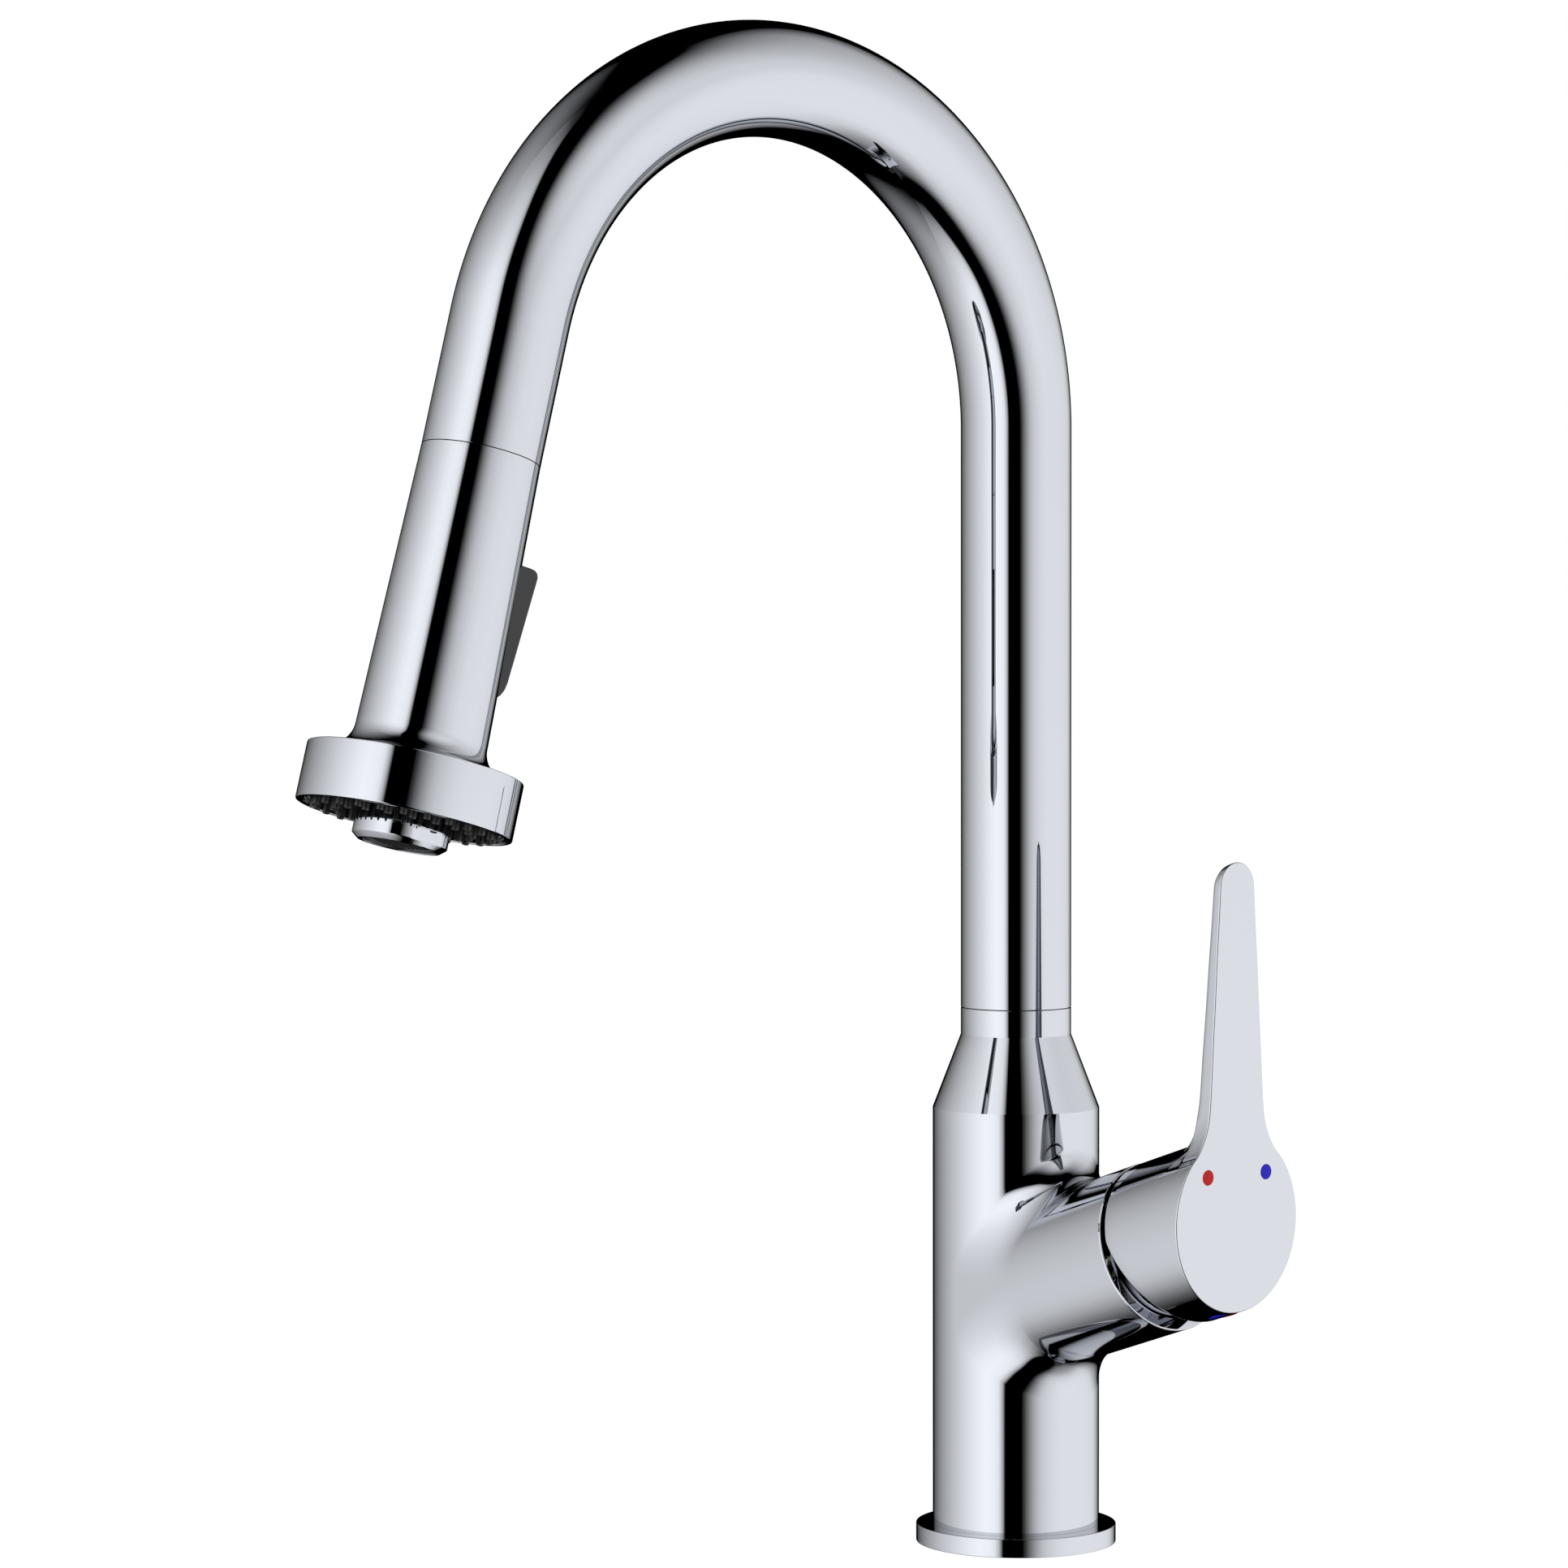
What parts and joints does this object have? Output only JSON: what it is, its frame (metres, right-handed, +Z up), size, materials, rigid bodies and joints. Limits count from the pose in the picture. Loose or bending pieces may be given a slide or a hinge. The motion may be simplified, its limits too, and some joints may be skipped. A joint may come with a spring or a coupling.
{
  "type": "pull-down kitchen faucet",
  "caption": "Single-lever kitchen faucet with a high arched swivel spout, a spray wand that pulls down on a hose, and deck-mounting hardware.",
  "frame": {"origin": "middle of the deck flange's underside, on the deck's top surface and on the axis of the body and the spout's swivel", "axes": "+Z up; the spout reaches towards -Y and the handle stands on the +X side"},
  "size_m": [0.1029, 0.2437, 0.4572],
  "materials": {
    "chrome": "polished chrome plate",
    "brass": "machined brass",
    "steel": "plain stainless steel",
    "black_rubber": "matte",
    "dark_silicone": "soft satin",
    "dark_grey_plastic": "satin moulding",
    "black_plastic": "satin moulding",
    "white_plastic": "natural acetal",
    "white_ceramic": "ground and polished",
    "braided_hose": "grey nylon braid",
    "red_enamel": "gloss",
    "blue_enamel": "gloss"
  },
  "bodies": {
    "base": {"deck_flange": "chrome", "deck_gasket": "black_rubber", "main_body": "chrome", "mounting_shank": "brass", "rubber_washer": "black_rubber", "steel_washer": "steel", "mounting_nut": "brass", "spout_snap_ring": "steel", "cartridge_gasket": "black_rubber", "cartridge_base": "white_plastic", "fixed_ceramic_disc": "white_ceramic", "cartridge_housing": "white_plastic", "cartridge_nut": "brass", "bonnet_ring": "chrome"},
    "mixer": {"stem_carrier": "black_plastic", "stem_pin": "steel"},
    "valve_disc": {"moving_ceramic_disc": "white_ceramic", "disc_carrier": "black_plastic"},
    "lever": {"handle": "chrome", "cartridge_stem": "brass", "handle_set_screw": "steel", "hot_dot": "red_enamel", "cold_dot": "blue_enamel", "screw_cap_hot": "red_enamel", "screw_cap_cold": "blue_enamel"},
    "spout": {"spout_tube": "chrome", "lower_swivel_bush": "white_plastic", "swivel_o_ring": "black_rubber", "upper_swivel_bush": "white_plastic", "docking_collar": "black_plastic", "spray_hose": "braided_hose", "hose_end_fitting": "brass"},
    "wand": {"wand_shell": "chrome", "dock_neck": "black_plastic", "hose_ferrule": "steel", "hose_connector": "brass", "wand_core": "white_plastic", "check_valve": "white_plastic", "toggle_pin": "steel", "head_body": "white_plastic", "head_seal": "black_rubber", "nozzle_mat": "dark_silicone", "face_plate": "dark_grey_plastic", "aerator_housing": "chrome", "aerator_washer": "black_rubber", "aerator_insert": "black_plastic"},
    "toggle": {"toggle_button": "dark_grey_plastic"},
    "plunger": {"diverter_plunger": "brass"}
  },
  "joints": [
    {"name": "spout_swivel", "type": "hinge", "parent": "base", "child": "spout", "pos_m": [0, 0, 0.1361], "axis": [0, 0, 1], "range_deg": [-90, 90]},
    {"name": "wand_pull", "type": "slide", "parent": "spout", "child": "wand", "axis": [0, -0.2613, -0.9652], "range_m": [0, 0.16], "deforming": ["spray_hose"]},
    {"name": "toggle_rock", "type": "hinge", "parent": "wand", "child": "toggle", "pos_m": [0, -0.17266, 0.23328], "axis": [1, 0, 0], "range_deg": [0, 7]},
    {"name": "plunger_slide", "type": "slide", "parent": "wand", "child": "plunger", "axis": [0, -0.9652, 0.2613], "range_m": [0, 0.0012]},
    {"name": "temperature_turn", "type": "hinge", "parent": "base", "child": "mixer", "pos_m": [0.03889, 0, 0.07551], "axis": [0.9486, 0, 0.3165], "range_deg": [-50, 50]},
    {"name": "lever_tilt", "type": "hinge", "parent": "mixer", "child": "lever", "pos_m": [0.03889, 0, 0.07551], "axis": [0, 1, 0], "range_deg": [0, 25]},
    {"name": "disc_slide", "type": "slide", "parent": "mixer", "child": "valve_disc", "axis": [-0.3165, 0, 0.9486], "range_m": [0, 0.0025]}
  ],
  "couplings": [
    {"joint": "plunger_slide", "follows": "toggle_rock", "m_per_rad": 0.009},
    {"joint": "disc_slide", "follows": "lever_tilt", "m_per_rad": 0.0055}
  ]
}
